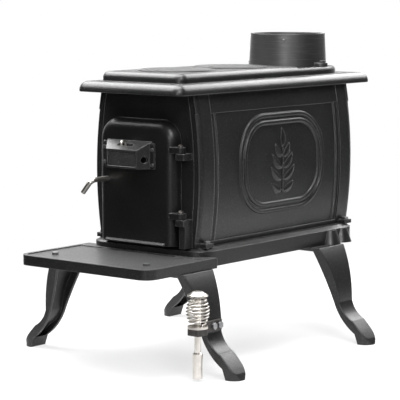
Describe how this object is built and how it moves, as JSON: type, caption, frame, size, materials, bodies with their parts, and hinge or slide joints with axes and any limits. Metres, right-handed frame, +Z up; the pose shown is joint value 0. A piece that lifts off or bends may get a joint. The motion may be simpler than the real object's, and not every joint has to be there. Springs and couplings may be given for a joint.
{
  "type": "cast iron wood stove",
  "caption": "Long, bow-sided cast iron box stove on cabriole legs, with a hinged fire door, lift-out cook lids, a flue collar, a hearth shelf and a stored coil handle.",
  "frame": {"origin": "on the floor, under the middle of the bounding box", "axes": "+Z up, -Y towards the fire door and hearth, +X to the side that carries the stored handle"},
  "size_m": [0.56, 0.789, 0.637],
  "materials": {
    "black_casting": "satin black high-temperature paint on sand-cast iron",
    "dark_steel": "black oxide",
    "zinc_bolts": "zinc plated",
    "nickel_plate": "bright nickel"
  },
  "bodies": {
    "stove": {"top_plate": "black_casting", "flue_collar": "black_casting", "front_plate": "black_casting", "rear_plate": "black_casting", "side_panel_right": "black_casting", "side_panel_left": "black_casting", "base_plate": "black_casting", "hearth_shelf": "black_casting", "leg_front_right": "black_casting", "leg_front_left": "black_casting", "leg_rear_right": "black_casting", "leg_rear_left": "black_casting", "fire_grate": "black_casting", "handle_bracket": "dark_steel", "hinge_pin_upper": "dark_steel", "hinge_pin_lower": "dark_steel", "collar_bolts": "zinc_bolts", "hearth_bolts": "zinc_bolts", "leg_bolts": "zinc_bolts", "panel_bolts": "zinc_bolts", "bracket_bolts": "zinc_bolts"},
    "door": {"fire_door": "black_casting", "air_box_cover": "black_casting", "air_box_screws": "zinc_bolts"},
    "air_control": {"air_slide": "dark_steel", "air_hook": "nickel_plate"},
    "latch": {"latch_rod": "nickel_plate", "latch_cam": "dark_steel", "latch_nut": "zinc_bolts"},
    "front_lid": {"cook_lid_front": "black_casting"},
    "rear_lid": {"cook_lid_rear": "black_casting"},
    "spring_handle": {"spring_grip": "nickel_plate", "handle_rod": "nickel_plate", "handle_socket": "nickel_plate", "handle_cap": "nickel_plate"}
  },
  "joints": [
    {"name": "door_hinge", "type": "hinge", "parent": "stove", "child": "door", "pos_m": [0.101, -0.217, 0.36], "axis": [0, 0, 1], "range_deg": [0, 110]},
    {"name": "latch_turn", "type": "hinge", "parent": "door", "child": "latch", "pos_m": [-0.08, -0.21, 0.358], "axis": [0, 1, 0], "range_deg": [-90, 0]},
    {"name": "air_slide_travel", "type": "slide", "parent": "door", "child": "air_control", "axis": [1, 0, 0], "range_m": [-0.016, 0.016]},
    {"name": "front_lid_lift", "type": "slide", "parent": "stove", "child": "front_lid", "axis": [0, 0, 1], "range_m": [0, 0.1]},
    {"name": "rear_lid_lift", "type": "slide", "parent": "stove", "child": "rear_lid", "axis": [0, 0, 1], "range_m": [0, 0.1]},
    {"name": "handle_lift", "type": "slide", "parent": "stove", "child": "spring_handle", "axis": [0, 0, 1], "range_m": [0, 0.12]}
  ]
}
